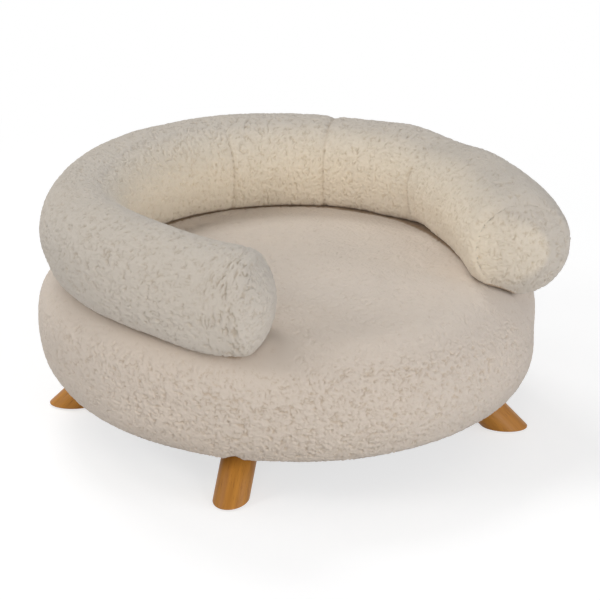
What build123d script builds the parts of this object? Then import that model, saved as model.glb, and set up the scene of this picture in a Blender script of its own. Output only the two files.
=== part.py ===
# Dog sofa bed: a round padded seat on four slanted wooden legs, with a C-shaped bolster sewn on top.
# Millimetres. +Z up, the bolster opens towards -Y, and the feet stand on Z = 0.

import os
from math import asin, cos, degrees, hypot, isclose, radians, sin, sqrt, tan

from build123d import *

# Seat: a crowned top, a rounded shoulder, a bulging side and a hem tucked under the board
seat_radius = 330.0
side_arc_radius = 110.0
side_arc_down_angle = 30.0
side_arc_up_angle = 25.0
hem_corner_radius = 35.0
shoulder_radius = 55.0
crown_edge_angle = 5.5
cover_thickness = 4.0
top_seam_angle = 52.0
side_seam_angle = -132.5
seam_roll = 2.0
side_seam_roll = 1.5
hem_width = 12.0
wadding_thickness = 12.0

# Base board and what is stapled to it
board_thickness = 15.0
dust_cover_thickness = 0.8
dust_cover_edge_gap = 4.0
dust_cover_slope_run = 3.0
staple_wire = 1.2
staple_crown_length = 11.0
staple_leg_length = 9.0
cover_staple_edge_gap = 4.5
cover_staple_count = 32
dust_staple_edge_gap = 9.0
dust_staple_count = 24

# Legs and their fixings
leg_diameter = 45.0
leg_splay_angle = 46.0
leg_top_height = 62.0
leg_edge_round = 1.2
foot_inset = 31.0
leg_turn = 1.8
front_leg_angle = 45.5
rear_leg_angle = 56.2
glide_diameter = 25.0
glide_thickness = 2.0
glide_edge_chamfer = 0.8
glide_nail_diameter = 2.4
glide_nail_length = 14.0
bolt_diameter = 8.0
bolt_depth_in_leg = 28.0
bolt_clearance = 0.1
tee_nut_flange_diameter = 22.0
tee_nut_flange_thickness = 1.6
tee_nut_barrel_diameter = 10.0
tee_nut_barrel_length = 11.0

# Bolster: a stuffed tube on a C-shaped middle line, drawn in at its seams
bolster_radius = 66.0
bolster_sink = 5.0
bolster_turn = 2.0
bolster_inset = 63.0
back_half_angle = 93.0
left_arm_arc_radius = 330.0
left_arm_run = 249.0
right_arm_arc_radius = 700.0
right_arm_run = 206.0
arm_droop = 10.0
seam_angles = (-93.0, -43.5, 6.0, 41.5, 79.0)
seam_draw = 3.0
seam_draw_run = 26.0
end_draw = 9.0
end_draw_run = 30.0
end_puff = 20.0
draw_station_shares = (0, 0.3, 0.65, 1)
station_spacing = 32.0
soft_clearance = 0.3

# Stitches that hold the bolster down
stitch_diameter = 1.6
stitch_sides = 6
stitch_length = 8.0
stitch_spacing = 30.0
stitch_clearance = 0.6
stitch_search_step = 0.4

# Heights of the base
board_underside = leg_top_height + dust_cover_thickness
board_top = board_underside + board_thickness
hem_underside = board_underside - cover_thickness
dust_cover_underside = hem_underside - dust_cover_thickness


def polar(distance, angle):
    """Point at an angle in degrees from the sketch's first axis."""
    return Vector(distance, 0).rotate(Axis.Z, angle)


# Centres of the arcs in the seat's half section: distance from the axis, and height
side_centre = Vector(
    seat_radius - side_arc_radius,
    hem_underside
    + hem_corner_radius
    + (side_arc_radius - hem_corner_radius) * sin(radians(side_arc_down_angle)),
)
hem_centre = side_centre + polar(side_arc_radius - hem_corner_radius, -side_arc_down_angle)
shoulder_centre = side_centre + polar(side_arc_radius - shoulder_radius, side_arc_up_angle)
shoulder_end_angle = 90 - crown_edge_angle
crown_radius = shoulder_radius + shoulder_centre.X / sin(radians(crown_edge_angle))
crown_centre_height = shoulder_centre.Y - (crown_radius - shoulder_radius) * cos(
    radians(crown_edge_angle)
)
crown_top = crown_centre_height + crown_radius
crown_edge = shoulder_centre + polar(shoulder_radius, shoulder_end_angle)
shoulder_edge = shoulder_centre + polar(shoulder_radius, side_arc_up_angle)

# Radii of the base
board_radius = hem_centre.X
hem_inner_radius = board_radius - hem_width
cover_staple_radius = board_radius - cover_staple_edge_gap
dust_staple_radius = board_radius - dust_staple_edge_gap


# Seat

def side_arcs(inset, top_angle):
    """Side of the seat's half section, from the hem's corner up to top_angle on the shoulder."""
    CenterArc(hem_centre, hem_corner_radius - inset, -90, 90 - side_arc_down_angle)
    CenterArc(
        side_centre,
        side_arc_radius - inset,
        -side_arc_down_angle,
        side_arc_down_angle + side_arc_up_angle,
    )
    CenterArc(
        shoulder_centre,
        shoulder_radius - inset,
        side_arc_up_angle,
        top_angle - side_arc_up_angle,
    )


def crown_arc(inset):
    """Top of the seat's half section, from the shoulder to the axis."""
    CenterArc(
        (0, crown_centre_height), crown_radius - inset, shoulder_end_angle, crown_edge_angle
    )


def seat_body(inset):
    """Whole seat, inset below its outer face."""
    with BuildPart() as body:
        with BuildSketch(Plane.XZ):
            with BuildLine():
                side_arcs(inset, shoulder_end_angle)
                crown_arc(inset)
                Polyline(
                    (0, crown_top - inset),
                    (0, hem_underside + inset),
                    (board_radius, hem_underside + inset),
                )
            make_face()
        revolve(axis=Axis.Z)
    return body.part


with BuildPart() as seat_foam:
    add(seat_body(cover_thickness + wadding_thickness))
    split(bisect_by=Plane.XY.offset(board_top), keep=Keep.TOP)

with BuildPart() as seat_wadding:
    add(seat_body(cover_thickness))
    with BuildSketch(Plane.XY.offset(board_underside)):
        Circle(board_radius)
    extrude(amount=board_thickness, mode=Mode.SUBTRACT)
    add(seat_foam.part, mode=Mode.SUBTRACT)

seam_outer = shoulder_centre + polar(shoulder_radius, top_seam_angle)
seam_inner = shoulder_centre + polar(shoulder_radius - cover_thickness, top_seam_angle)

with BuildPart() as seat_top_panel:
    with BuildSketch(Plane.XZ) as top_section:
        with BuildLine():
            for inset in (0, cover_thickness):
                CenterArc(
                    shoulder_centre,
                    shoulder_radius - inset,
                    top_seam_angle,
                    shoulder_end_angle - top_seam_angle,
                )
                crown_arc(inset)
            Line((0, crown_top), (0, crown_top - cover_thickness))
            Line(seam_outer, seam_inner)
        make_face()
        fillet(top_section.vertices().sort_by_distance(seam_outer)[0], seam_roll)
    revolve(axis=Axis.Z)

with BuildPart() as staple:
    with BuildSketch(Plane.YZ):
        Rectangle(staple_crown_length, staple_leg_length, align=(Align.CENTER, Align.MIN))
        with Locations((0, staple_wire)):
            Rectangle(
                staple_crown_length - 2 * staple_wire,
                staple_leg_length,
                align=(Align.CENTER, Align.MIN),
                mode=Mode.SUBTRACT,
            )
    extrude(amount=staple_wire / 2, both=True)

with BuildPart(Plane.XY.offset(hem_underside)) as cover_staples:
    with PolarLocations(cover_staple_radius, cover_staple_count):
        add(staple.part)

with BuildPart(Plane.XY.offset(dust_cover_underside - staple_wire)) as dust_cover_staples:
    with PolarLocations(dust_staple_radius, dust_staple_count):
        add(staple.part)


def side_panel(start_angle):
    """Half of the seat's side, from a seam at start_angle to the one across from it."""
    start_plane = Plane.XZ.rotated((0, 0, start_angle))
    with BuildPart() as panel:
        with BuildSketch(start_plane) as side_section:
            with BuildLine():
                for inset in (0, cover_thickness):
                    side_arcs(inset, top_seam_angle)
                Polyline(
                    (board_radius, hem_underside),
                    (hem_inner_radius, hem_underside),
                    (hem_inner_radius, board_underside),
                    (board_radius, board_underside),
                )
                Line(seam_outer, seam_inner)
            make_face()
            fillet(side_section.vertices().sort_by_distance(seam_outer)[0], seam_roll)
        revolve(axis=Axis.Z, revolution_arc=180)
        seam_faces = panel.faces().filter_by(GeomType.PLANE).filter_by(Axis.Z, reverse=True)
        outer_radii = (hem_corner_radius, side_arc_radius, shoulder_radius)
        outer_edges = [
            edge
            for edge in seam_faces.edges().filter_by(GeomType.CIRCLE)
            if any(isclose(edge.radius, radius) for radius in outer_radii)
        ]
        fillet(outer_edges, side_seam_roll)
        add(cover_staples.part, mode=Mode.SUBTRACT)
        add(dust_cover_staples.part, mode=Mode.SUBTRACT)
    return panel.part


seat_side_panel_front = side_panel(side_seam_angle)
seat_side_panel_rear = side_panel(side_seam_angle + 180)

# Legs, with their bolts, tee nuts and glides

leg_angles = {
    "front_left": leg_turn - 90 - front_leg_angle,
    "front_right": leg_turn - 90 + front_leg_angle,
    "rear_right": leg_turn + 90 - rear_leg_angle,
    "rear_left": leg_turn + 90 + rear_leg_angle,
}
splay_slope = tan(radians(leg_splay_angle))
foot_circle_radius = seat_radius - foot_inset
bolt_circle_radius = foot_circle_radius - splay_slope * (leg_top_height - bolt_depth_in_leg / 2)
glide_circle_radius = foot_circle_radius - splay_slope * glide_thickness
bolt_places = [polar(bolt_circle_radius, angle) for angle in leg_angles.values()]
bolt_bottom = leg_top_height - bolt_depth_in_leg
bolt_top = board_top - tee_nut_flange_thickness

foot_glides = {}
legs = {}
for corner, angle in leg_angles.items():
    with BuildPart() as foot_glide:
        with BuildSketch(Plane(origin=polar(glide_circle_radius, angle))):
            Circle(glide_diameter / 2)
        extrude(amount=glide_thickness)
        chamfer(foot_glide.edges().group_by(Axis.Z)[0], glide_edge_chamfer)
        with BuildSketch(
            Plane(origin=polar(glide_circle_radius, angle) + Vector(0, 0, glide_thickness))
        ):
            Circle(glide_nail_diameter / 2)
        extrude(amount=glide_nail_length)
    foot_glides[corner] = foot_glide

    outward = polar(1, angle)
    leg_direction = Vector(0, 0, 1) - outward * splay_slope
    with BuildPart() as leg:
        with BuildSketch(Plane(origin=outward * foot_circle_radius, z_dir=leg_direction)):
            Circle(leg_diameter / 2)
        extrude(amount=leg_top_height * sqrt(1 + splay_slope**2) + leg_diameter, both=True)
        split(bisect_by=Plane.XY.offset(glide_thickness), keep=Keep.TOP)
        split(bisect_by=Plane.XY.offset(leg_top_height), keep=Keep.BOTTOM)
        fillet(leg.edges().group_by(Axis.Z)[0], leg_edge_round)
        with BuildSketch(
            Plane(origin=polar(bolt_circle_radius, angle) + Vector(0, 0, bolt_bottom))
        ):
            Circle(bolt_diameter / 2)
        extrude(amount=bolt_depth_in_leg, mode=Mode.SUBTRACT)
        add(foot_glide.part, mode=Mode.SUBTRACT)
    legs[corner] = leg

with BuildPart() as hanger_bolts:
    with BuildSketch(Plane.XY.offset(bolt_bottom)):
        with Locations(*bolt_places):
            Circle(bolt_diameter / 2)
    extrude(amount=bolt_top - bolt_bottom)

with BuildPart() as tee_nuts:
    with BuildSketch(Plane.XY.offset(board_top)):
        with Locations(*bolt_places):
            Circle(tee_nut_flange_diameter / 2)
    extrude(amount=-tee_nut_flange_thickness)
    with BuildSketch(Plane.XY.offset(board_top)):
        with Locations(*bolt_places):
            Circle(tee_nut_barrel_diameter / 2)
    extrude(amount=-tee_nut_barrel_length)
    with BuildSketch(Plane.XY.offset(board_top)):
        with Locations(*bolt_places):
            Circle(bolt_diameter / 2 + bolt_clearance)
    extrude(amount=-tee_nut_barrel_length, mode=Mode.SUBTRACT)

with BuildPart() as base_board:
    with BuildSketch(Plane.XY.offset(board_underside)):
        Circle(board_radius)
        with Locations(*bolt_places):
            Circle(tee_nut_barrel_diameter / 2, mode=Mode.SUBTRACT)
    extrude(amount=board_thickness)
    for solids in (tee_nuts, cover_staples, dust_cover_staples):
        add(solids.part, mode=Mode.SUBTRACT)

with BuildPart() as dust_cover:
    with BuildSketch(Plane.XZ):
        with BuildLine():
            Polyline(
                (0, board_underside),
                (hem_inner_radius - dust_cover_slope_run, board_underside),
                (hem_inner_radius, hem_underside),
                (board_radius - dust_cover_edge_gap, hem_underside),
                (board_radius - dust_cover_edge_gap, dust_cover_underside),
                (hem_inner_radius, dust_cover_underside),
                (hem_inner_radius - dust_cover_slope_run, leg_top_height),
                (0, leg_top_height),
                close=True,
            )
        make_face()
    revolve(axis=Axis.Z)
    with BuildSketch(Plane.XY.offset(dust_cover_underside)):
        with Locations(*bolt_places):
            Circle(tee_nut_barrel_diameter / 2)
    extrude(amount=board_underside - dust_cover_underside, mode=Mode.SUBTRACT)
    add(dust_cover_staples.part, mode=Mode.SUBTRACT)

# Bolster

back_arc_radius = seat_radius - bolster_inset
back_run = back_arc_radius * radians(back_half_angle)
bolster_height = crown_edge.Y + bolster_radius - bolster_sink
left_end = -(back_run + left_arm_run)
right_end = back_run + right_arm_run
bolster_seams = [
    (back_arc_radius * radians(angle), seam_draw, seam_draw_run) for angle in seam_angles
]
bolster_seams.insert(0, (left_end, end_draw, end_draw_run))
bolster_seams.append((right_end, end_draw, end_draw_run))


def bolster_plane(run):
    """Upright plane square to the bolster's middle line, run past the seam at the back."""
    side = 1 if run > 0 else -1
    arm_arc_radius = right_arm_arc_radius if run > 0 else left_arm_arc_radius
    arm_length = right_arm_run if run > 0 else left_arm_run
    arm_run = max(abs(run) - back_run, 0)
    bend = min(abs(run), back_run) / back_arc_radius + arm_run / arm_arc_radius
    arc_radius = arm_arc_radius if arm_run > 0 else back_arc_radius
    outward = Vector(side * sin(bend), cos(bend))
    half = radians(back_half_angle)
    arm_offset = Vector(side * sin(half), cos(half)) * (back_arc_radius - arc_radius)
    droop = arm_droop * (arm_run / arm_length) ** 2
    middle = arm_offset + outward * arc_radius + Vector(0, 0, bolster_height - droop)
    along = Vector(cos(bend), -side * sin(bend))
    return Plane(
        origin=middle.rotate(Axis.Z, -bolster_turn),
        x_dir=outward.rotate(Axis.Z, -bolster_turn),
        z_dir=along.rotate(Axis.Z, -bolster_turn),
    )


def bolster_girth(run):
    """Radius of the bolster, full between its seams and drawn in at each."""
    girth = bolster_radius
    for seam_run, draw, draw_run in bolster_seams:
        nearness = max(1 - abs(run - seam_run) / draw_run, 0)
        girth -= draw * (1 - sqrt(1 - nearness**2))
    return girth


def bolster_tube(first_seam, last_seam, inset):
    """Stretch of the bolster between two seams, inset below its outer face."""
    start, _, start_draw_run = first_seam
    end, _, end_draw_run_here = last_seam
    full_start = start + start_draw_run
    full_run = end - end_draw_run_here - full_start
    full_count = max(round(full_run / station_spacing), 1)
    runs = [start + share * start_draw_run for share in draw_station_shares]
    runs += [full_start + number * full_run / full_count for number in range(1, full_count)]
    runs += [end - share * end_draw_run_here for share in reversed(draw_station_shares)]
    with BuildPart() as tube:
        for run in runs:
            with BuildSketch(bolster_plane(run)):
                with BuildLine():
                    for arc_start in (-90, 30, 150):
                        CenterArc((0, 0), bolster_girth(run) - inset, arc_start, 120)
                make_face()
        loft()
    return tube.part


def end_dome(run, inset):
    """Puffed end of the bolster, inset below its outer face."""
    section = bolster_plane(run)
    side = 1 if run > 0 else -1
    dome_plane = Plane(origin=section.origin, x_dir=section.x_dir, z_dir=(0, 0, -side))
    rim = bolster_girth(run)
    dome_radius = (rim**2 + end_puff**2) / (2 * end_puff)
    depth = dome_radius - end_puff
    start_angle = degrees(asin(depth / (dome_radius - inset)))
    with BuildPart() as dome:
        with BuildSketch(dome_plane):
            with BuildLine():
                CenterArc((0, -depth), dome_radius - inset, start_angle, 90 - start_angle)
                Polyline(
                    (0, end_puff - inset), (0, 0), (sqrt((dome_radius - inset) ** 2 - depth**2), 0)
                )
            make_face()
        revolve(axis=Axis(section.origin, dome_plane.y_dir))
    return dome.part


seat_clear_of_cover = seat_body(-soft_clearance)
seat_clear_of_filling = seat_body(-soft_clearance - cover_thickness)
stretches = list(zip(bolster_seams, bolster_seams[1:]))

with BuildPart() as bolster_filling:
    for first_seam, last_seam in stretches:
        add(bolster_tube(first_seam, last_seam, cover_thickness))
    add(end_dome(left_end, cover_thickness))
    add(end_dome(right_end, cover_thickness))
    add(seat_clear_of_filling, mode=Mode.SUBTRACT)

panel_names = ("left_arm", "left_side", "back_left", "back_right", "right_side", "right_arm")
bolster_panels = {}
for panel_name, (first_seam, last_seam) in zip(panel_names, stretches):
    with BuildPart() as bolster_panel:
        add(bolster_tube(first_seam, last_seam, 0))
        add(seat_clear_of_cover, mode=Mode.SUBTRACT)
        add(bolster_filling.part, mode=Mode.SUBTRACT)
    bolster_panels[panel_name] = bolster_panel

bolster_end_caps = {}
for cap_name, end_run in (("left", left_end), ("right", right_end)):
    with BuildPart() as bolster_end_cap:
        add(end_dome(end_run, 0))
        add(seat_clear_of_cover, mode=Mode.SUBTRACT)
        add(bolster_filling.part, mode=Mode.SUBTRACT)
    bolster_end_caps[cap_name] = bolster_end_cap


def seat_height(distance):
    """Height of the seat's upper face at a distance from its axis."""
    if distance < crown_edge.X:
        return crown_centre_height + sqrt(crown_radius**2 - distance**2)
    if distance < shoulder_edge.X:
        return shoulder_centre.Y + sqrt(shoulder_radius**2 - (distance - shoulder_centre.X) ** 2)
    return side_centre.Y + sqrt(side_arc_radius**2 - (distance - side_centre.X) ** 2)


def stitch_place(run, inward_step):
    """Point in the crease beside the bolster where a stitch has room under it."""
    section = bolster_plane(run)
    girth = bolster_girth(run)
    offset = 0
    room = 0
    while room < stitch_diameter + 2 * stitch_clearance:
        offset += inward_step
        place = section.origin + section.x_dir * offset
        ground = seat_height(hypot(place.X, place.Y))
        room = section.origin.Z - sqrt(girth**2 - offset**2) - ground
    return Vector(place.X, place.Y, ground + stitch_clearance + stitch_diameter / 2)


with BuildPart() as bolster_stitches:
    for (start, _, start_draw_run), (end, _, end_draw_run_here) in stretches:
        first_run = start + start_draw_run + stitch_length / 2
        last_run = end - end_draw_run_here - stitch_length / 2
        gap_count = max(int((last_run - first_run) / stitch_spacing), 1)
        for number in range(gap_count + 1):
            stitch_run = first_run + number * (last_run - first_run) / gap_count
            for step in (-stitch_search_step, stitch_search_step):
                stitch_start = stitch_place(stitch_run - stitch_length / 2, step)
                stitch_end = stitch_place(stitch_run + stitch_length / 2, step)
                with BuildSketch(Plane(origin=stitch_start, z_dir=stitch_end - stitch_start)):
                    RegularPolygon(stitch_diameter / 2, stitch_sides)
    extrude(amount=stitch_length)

# Labels and files

pieces = {
    "base_board": base_board.part,
    "tee_nuts": tee_nuts.part,
    "hanger_bolts": hanger_bolts.part,
    "seat_foam": seat_foam.part,
    "seat_wadding": seat_wadding.part,
    "seat_top_panel": seat_top_panel.part,
    "seat_side_panel_front": seat_side_panel_front,
    "seat_side_panel_rear": seat_side_panel_rear,
    "cover_staples": cover_staples.part,
    "dust_cover": dust_cover.part,
    "dust_cover_staples": dust_cover_staples.part,
    "bolster_filling": bolster_filling.part,
    "bolster_stitches": bolster_stitches.part,
}
for corner in leg_angles:
    pieces[f"leg_{corner}"] = legs[corner].part
    pieces[f"foot_glide_{corner}"] = foot_glides[corner].part
for panel_name in panel_names:
    pieces[f"bolster_panel_{panel_name}"] = bolster_panels[panel_name].part
for cap_name, bolster_end_cap in bolster_end_caps.items():
    pieces[f"bolster_end_cap_{cap_name}"] = bolster_end_cap.part

os.makedirs("parts", exist_ok=True)
for label, piece in pieces.items():
    piece.label = label
    export_step(piece, f"parts/{label}.step")
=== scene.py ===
# Dog sofa bed: a crowned round seat and a C-shaped stuffed bolster, both in curly pile, on
# slanted wooden legs.
# Metres. +Z up and the open front towards -Y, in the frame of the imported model.

from itertools import product
from math import cos, pi, radians, sin, sqrt, tan

import bpy
import numpy as np
from mathutils import Matrix, Vector


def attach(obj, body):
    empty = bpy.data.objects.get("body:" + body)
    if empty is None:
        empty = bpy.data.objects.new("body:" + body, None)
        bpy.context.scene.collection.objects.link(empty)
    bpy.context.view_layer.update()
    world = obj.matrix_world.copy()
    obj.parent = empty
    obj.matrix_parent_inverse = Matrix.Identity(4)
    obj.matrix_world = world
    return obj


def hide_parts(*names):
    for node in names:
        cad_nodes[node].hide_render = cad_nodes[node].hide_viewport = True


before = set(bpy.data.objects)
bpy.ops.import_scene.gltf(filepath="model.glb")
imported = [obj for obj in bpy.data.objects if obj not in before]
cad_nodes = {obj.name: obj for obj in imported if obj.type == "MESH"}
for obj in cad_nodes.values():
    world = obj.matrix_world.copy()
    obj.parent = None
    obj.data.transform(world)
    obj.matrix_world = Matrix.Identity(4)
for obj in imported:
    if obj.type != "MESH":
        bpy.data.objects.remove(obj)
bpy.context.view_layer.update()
mm = 0.001

# Seat, as in the part's source
seat_radius = 330 * mm
side_arc_radius = 110 * mm
side_arc_down = radians(30)
side_arc_up = radians(25)
hem_corner_radius = 35 * mm
shoulder_radius = 55 * mm
crown_edge = radians(5.5)
cover_thickness = 4 * mm
wadding_thickness = 12 * mm
top_seam = radians(52)
side_seam = radians(-132.5)
hem_width = 12 * mm
hem_underside = 58.8 * mm
board_top = 77.8 * mm

# Bolster, as in the part's source
bolster_radius = 66 * mm
bolster_sink = 5 * mm
bolster_turn = radians(2)
back_arc_radius = seat_radius - 63 * mm
back_half_angle = radians(93)
left_arm_arc_radius = 330 * mm
left_arm_run = 249 * mm
right_arm_arc_radius = 700 * mm
right_arm_run = 206 * mm
arm_droop = 10 * mm
seam_angles = tuple(radians(angle) for angle in (-93, -43.5, 6, 41.5, 79))
end_draw = 9 * mm
end_draw_run = 30 * mm
end_puff = 20 * mm

# Legs, as in the part's source
leg_splay = radians(46)
leg_turn = radians(1.8)
front_leg_angle = radians(45.5)
rear_leg_angle = radians(56.2)

# Pile: its tufts, how deep its partings are, and how much of it stands where it is pressed flat
curl_size = 6.5 * mm
curl_height = 2.6 * mm
mean_curl = 0.9
bolster_depth = 0.88
top_depth = 0.46
side_depth = 0.2
side_depth_swing = 0.43
deepest_turn = radians(-115)
flat_pile_share = 0.15
streak_depth = 1.35
streak_fade = 75 * mm, 15 * mm
# Partings: how fine, how deep, and where in the noise they are read
partings = ((1, 1, 53.9), (1.5, 0.7, 71.2), (2.1, 0.35, 91.7))
# Lumps of stuffed fabric: their height, their length, and where in the noise they are read
lump_sizes = ((1.1 * mm, 85 * mm, 0), (0.7 * mm, 34 * mm, 9.3))
pile_step = 1.2 * mm
inner_step_ratio = 8

# Fades over distances from the bolster's middle line: the seat's pile pressed flat under it, and
# the painted shade where they touch, on the inner side and on the outer one
flat_fade = 48 * mm, 28 * mm
inner_shade_fade = -58 * mm, -50 * mm
outer_shade_fade = 28 * mm, 18 * mm
shade_end_fade = 0, 30 * mm

# Dips at the seams, and the notch where the seat's side seam meets the hem
seam_dip = 1 * mm
seam_dip_run = 8 * mm
side_seam_share = 0.4
end_seam_share = 0.5
# Painted shade along the bolster's seams: how dark, and how far it reaches
seam_shade = 0.44
seam_shade_run = 7 * mm
hem_notch = 3.5 * mm
notch_width_fade = 16 * mm, 2 * mm
notch_height_fade = 55 * mm, 25 * mm
hem_fade = -2 * mm, 14 * mm
# How far round from the inner side each of the bolster's seams pulls in
seam_holds = tuple(radians(angle) for angle in (0, 0, 55, 180, 45))

# Padding pushed up beside the bolster, by distance from its middle line, and down under it
outer_push = 10 * mm
inner_push = 2.5 * mm
push_rise = 6 * mm, 38 * mm
push_fall = 84 * mm, 50 * mm
push_end_fade = 0, 80 * mm
push_sides = -30 * mm, 30 * mm
under_press = 0.6 * mm
under_fade = 16 * mm, 4 * mm
contact_depth = 6 * mm
contact_gap = 0.8 * mm

# The bolster's foot squashed wide, less so on its outer side away from its ends
squash_swell = 7 * mm
squash_angle = radians(42)
squash_spread = radians(36)
squash_end_fade = 0, 40 * mm
outer_squash_loss = 0.55
outer_squash_fade = 50 * mm, 130 * mm

# The seat's side hanging low at its hem, and drawn tighter at the right
sag_least = 2 * mm
sag_more = 10.5 * mm
sag_turn = radians(-50)
hang_fade = 0, 30 * mm
tight_turn = radians(-30)
tight_depth = 4 * mm

# Covers blown up as cloth: how far they start inside, and how far they may swell
cloth_cells = 96
cloth_step = 9 * mm
slack = 3 * mm
slack_end_fade = 0, 30 * mm
held_near = 1 * mm
held_room = 5 * mm
held_rim = 0.955
glued_share = 0.86
blow_frames = 20
most_swell = 7 * mm
seat_pressure, seat_spare = 200, 0.005
bolster_pressure, bolster_spare = 400, 0.02

# Padding inside the covers
padding_cells = 96
layer_gap = 0.5 * mm
filling_rings = 240
filling_sides = 48
filling_gap = 7 * mm
core_depth = 40 * mm
core_gap = 30 * mm

# Camera, as fitted to the photo: angles, distance, aim, and focal length in pixels of its frame
camera_azimuth = radians(-30.07)
camera_elevation = radians(21.03)
camera_distance = 2896.3 * mm
camera_aim_right = 15.86 * mm
camera_aim_height = 156.79 * mm
camera_focal = 2156.8
frame_width = 600

# Arcs of the seat's half section: centre, radius, first angle and sweep
side_centre = np.array(
    [
        seat_radius - side_arc_radius,
        hem_underside
        + hem_corner_radius
        + (side_arc_radius - hem_corner_radius) * sin(side_arc_down),
    ]
)
hem_centre = side_centre + (side_arc_radius - hem_corner_radius) * np.array(
    [cos(side_arc_down), -sin(side_arc_down)]
)
shoulder_centre = side_centre + (side_arc_radius - shoulder_radius) * np.array(
    [cos(side_arc_up), sin(side_arc_up)]
)
crown_radius = shoulder_radius + shoulder_centre[0] / sin(crown_edge)
crown_centre_height = shoulder_centre[1] - (crown_radius - shoulder_radius) * cos(crown_edge)
section_arcs = (
    ((0, crown_centre_height), crown_radius, pi / 2, -crown_edge),
    (shoulder_centre, shoulder_radius, pi / 2 - crown_edge, side_arc_up + crown_edge - pi / 2),
    (side_centre, side_arc_radius, side_arc_up, -side_arc_up - side_arc_down),
    (hem_centre, hem_corner_radius, -side_arc_down, side_arc_down - pi / 2),
)
section_length = sum(radius * abs(sweep) for _, radius, _, sweep in section_arcs) + hem_width
top_seam_run = crown_radius * crown_edge + shoulder_radius * (pi / 2 - crown_edge - top_seam)


def seat_section(run):
    """Distance from the axis, height and outward slope of the seat, a run down from its crown."""
    left = np.asarray(run, float)
    section = np.zeros(left.shape + (4,))
    for centre, radius, first, sweep in section_arcs:
        angle = first + np.sign(sweep) * np.clip(left / radius, 0, abs(sweep))
        here = np.stack(
            [
                centre[0] + radius * np.cos(angle),
                centre[1] + radius * np.sin(angle),
                np.cos(angle),
                np.sin(angle),
            ],
            axis=-1,
        )
        section = np.where((left >= 0)[..., None], here, section)
        left = left - radius * abs(sweep)
    section[..., 0] -= np.maximum(left, 0)
    return section


def seat_points(run, turn):
    """Points and outward directions on the seat at runs and turns round its axis."""
    section = seat_section(run)
    around = np.stack([np.cos(turn), np.sin(turn)], axis=-1)
    points = np.concatenate([around * section[..., :1], section[..., 1:2]], axis=-1)
    outward = np.concatenate([around * section[..., 2:3], section[..., 3:]], axis=-1)
    return points, outward


def seat_height(distance):
    """Height of the seat's top at distances from its axis."""
    crown = crown_centre_height + np.sqrt(np.maximum(crown_radius**2 - distance**2, 0))
    reach = np.clip(distance - shoulder_centre[0], 0, shoulder_radius)
    shoulder = shoulder_centre[1] + np.sqrt(shoulder_radius**2 - reach**2)
    return np.where(distance < crown_radius * sin(crown_edge), crown, shoulder)


back_run = back_arc_radius * back_half_angle
left_end = -(back_run + left_arm_run)
right_end = back_run + right_arm_run
crown_edge_height = crown_centre_height + crown_radius * cos(crown_edge)
bolster_height = crown_edge_height + bolster_radius - bolster_sink
seam_runs = (left_end, *(back_arc_radius * angle for angle in seam_angles), right_end)
# Where the stuffing is fuller or slacker than the plain tube: run, half width and swell
bolster_fills = (
    (-290 * mm, 190 * mm, -8.5 * mm),
    (10 * mm, 150 * mm, 1.5 * mm),
    (235 * mm, 80 * mm, -3 * mm),
    (380 * mm, 90 * mm, -6.5 * mm),
    (600 * mm, 140 * mm, 4 * mm),
)


def from_nearer_end(run):
    """Distance along the bolster from the nearer of its ends."""
    return np.minimum(run - left_end, right_end - run)


def bolster_line(run):
    """Middle, outward and forward directions of the bolster at runs from the seam at the back."""
    run = np.asarray(run, float)
    side = np.where(run > 0, 1, -1)
    arm_arc = np.where(run > 0, right_arm_arc_radius, left_arm_arc_radius)
    arm_length = np.where(run > 0, right_arm_run, left_arm_run)
    on_arm = np.maximum(np.abs(run) - back_run, 0)
    bend = np.minimum(np.abs(run), back_run) / back_arc_radius + on_arm / arm_arc
    radius = np.where(on_arm > 0, arm_arc, back_arc_radius)
    shift = back_arc_radius - radius
    spot = np.stack(
        [
            side * (shift * sin(back_half_angle) + radius * np.sin(bend)),
            shift * cos(back_half_angle) + radius * np.cos(bend),
        ],
        axis=-1,
    )
    outward = np.stack([side * np.sin(bend), np.cos(bend)], axis=-1)
    along = np.stack([np.cos(bend), -side * np.sin(bend)], axis=-1)
    turned = np.array(
        [[cos(bolster_turn), -sin(bolster_turn)], [sin(bolster_turn), cos(bolster_turn)]]
    )
    height = bolster_height - arm_droop * (on_arm / arm_length) ** 2
    middle = np.concatenate([spot @ turned, height[..., None]], axis=-1)
    flat = np.zeros(run.shape + (1,))
    outward, along = (np.concatenate([way @ turned, flat], axis=-1) for way in (outward, along))
    return middle, outward, along


def bolster_girth(run):
    """Radius of the bolster, drawn in at its ends and fuller or slacker in places."""
    girth = np.full(np.shape(run), bolster_radius)
    for end_run in (left_end, right_end):
        nearness = np.maximum(1 - np.abs(run - end_run) / end_draw_run, 0)
        girth -= end_draw * (1 - np.sqrt(1 - nearness**2))
    for middle, half_width, swell in bolster_fills:
        share = np.clip(np.abs(run - middle) / half_width, 0, 1)
        girth += swell * (1 + np.cos(pi * share)) / 2
    return girth


# Noise for the curls, the lumps and the dents

draws = np.random.default_rng(11)
shuffle = draws.permutation(256)
slopes = draws.normal(size=(256, 3))
slopes /= np.linalg.norm(slopes, axis=1, keepdims=True)


def noise(points):
    """Smooth noise between about -0.7 and 0.7 at points in space, one wave a unit."""
    cell = np.floor(points).astype(int)
    part = points - cell
    fade = part**3 * (part * (part * 6 - 15) + 10)
    total = np.zeros(points.shape[:-1])
    for corner in product((0, 1), repeat=3):
        x, y, z = np.moveaxis(cell + corner, -1, 0)
        slope = slopes[shuffle[(shuffle[(shuffle[x & 255] + y) & 255] + z) & 255]]
        weight = np.prod(np.where(corner, fade, 1 - fade), axis=-1)
        total += weight * np.sum(slope * (part - corner), axis=-1)
    return total


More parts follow.
